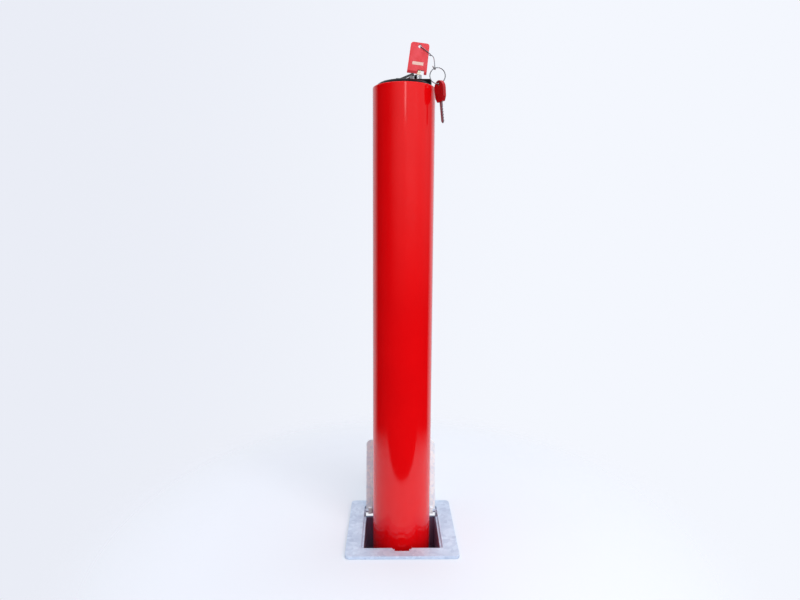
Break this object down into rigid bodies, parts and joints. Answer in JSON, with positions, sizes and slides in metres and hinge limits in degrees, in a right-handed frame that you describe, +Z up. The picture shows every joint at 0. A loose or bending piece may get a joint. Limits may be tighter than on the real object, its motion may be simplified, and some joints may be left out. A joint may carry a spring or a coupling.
{
  "type": "telescopic bollard",
  "caption": "Telescopic bollard: round red post that sinks into a square ground box with a hinged lid, locked by a key in its cap.",
  "frame": {"origin": "on the post's axis at ground level, in the plane of the ground frame's underside", "axes": "+Z up along the post; -Y towards the finger notch, the side the picture is taken from; +X to the right of that view; the lid's hinge is at +Y"},
  "size_m": [0.22, 0.1779, 1.7657],
  "materials": {
    "galvanised": "hot-dip galvanised, dull silver with a light spangle",
    "lid_plate": "galvanised plate, mottled",
    "bright_zinc": "bright zinc plate",
    "plain_steel": "galvanised steel plate",
    "red_powder_coat": "gloss red powder coat",
    "black_nylon": "black nylon",
    "white_nylon": "natural nylon",
    "rubber": "black rubber",
    "black_plastic": "black moulded plastic, satin gloss",
    "chrome": "chromed brass",
    "brass": "turned brass",
    "nickel": "nickel silver",
    "key_red": "red moulded plastic, satin",
    "spare_red": "red moulded plastic, gloss",
    "wire": "bright steel wire",
    "dark_nickel": "nickel silver, dark in the shade"
  },
  "bodies": {
    "housing": {"ground_frame": "galvanised", "ground_box": "galvanised", "base_plate": "galvanised", "guide_plate": "plain_steel", "guide_ring": "black_nylon", "rest_buffer": "rubber", "upper_keep": "galvanised", "lower_keep": "galvanised", "left_anchor": "galvanised", "right_anchor": "galvanised", "lid_lugs": "galvanised"},
    "lid": {"lid_plate": "lid_plate", "lid_pins": "bright_zinc"},
    "post": {"post_tube": "red_powder_coat", "upper_foot_plate": "plain_steel", "lower_foot_plate": "plain_steel", "upper_wear_pads": "white_nylon", "lower_wear_pads": "white_nylon", "cap_seat": "plain_steel", "top_cap": "black_plastic", "cap_screws": "bright_zinc", "handle_pin": "bright_zinc", "lock_body": "chrome", "lock_nut": "bright_zinc", "upper_rod_guide": "white_nylon", "lower_rod_guide": "white_nylon", "bolt_case": "plain_steel", "case_cover": "bright_zinc", "case_screws": "bright_zinc"},
    "handle": {"lift_handle": "black_plastic"},
    "rotor": {"lock_plug": "brass", "rod_coupler": "bright_zinc", "drive_rod": "bright_zinc", "pinion": "bright_zinc"},
    "bolt": {"lock_bolt": "bright_zinc"},
    "key": {"key_blade": "nickel", "key_head": "key_red"},
    "link": {"key_link": "wire"},
    "ring": {"split_ring": "wire"},
    "spare_key": {"spare_blade": "dark_nickel", "spare_head": "spare_red"}
  },
  "joints": [
    {"name": "post_lift", "type": "slide", "parent": "housing", "child": "post", "axis": [0, 0, 1], "range_m": [-0.728, 0]},
    {"name": "lid_hinge", "type": "hinge", "parent": "housing", "child": "lid", "pos_m": [0, 0.0599, -0.0006], "axis": [1, 0, 0], "range_deg": [0, 16]},
    {"name": "handle_hinge", "type": "hinge", "parent": "post", "child": "handle", "pos_m": [-0.009, 0, 0.7144], "axis": [0, -1, 0], "range_deg": [-22.5, 2]},
    {"name": "lock_turn", "type": "hinge", "parent": "post", "child": "rotor", "pos_m": [0.0208, 0, 0.7], "axis": [0, 0, 1], "range_deg": [0, 90]},
    {"name": "bolt_throw", "type": "slide", "parent": "post", "child": "bolt", "axis": [1, 0, 0], "range_m": [0, 0.0189]},
    {"name": "key_slide", "type": "slide", "parent": "rotor", "child": "key", "axis": [0.1219, 0, 0.9925], "range_m": [0, 0.02]},
    {"name": "link_swing", "type": "hinge", "parent": "key", "child": "link", "pos_m": [0.02347, 0, 0.76503], "axis": [0, -1, 0], "range_deg": [0, 40]},
    {"name": "ring_swing", "type": "hinge", "parent": "link", "child": "ring", "pos_m": [0.04242, -0.0315, 0.72601], "axis": [-0.8746, 0, -0.4848], "range_deg": [0, 40]},
    {"name": "spare_key_swing", "type": "hinge", "parent": "ring", "child": "spare_key", "pos_m": [0.05067, -0.0315, 0.70558], "axis": [-0.9659, 0, -0.2588], "range_deg": [0, 35]}
  ],
  "couplings": [
    {"joint": "bolt_throw", "follows": "lock_turn", "m_per_rad": 0.012}
  ]
}
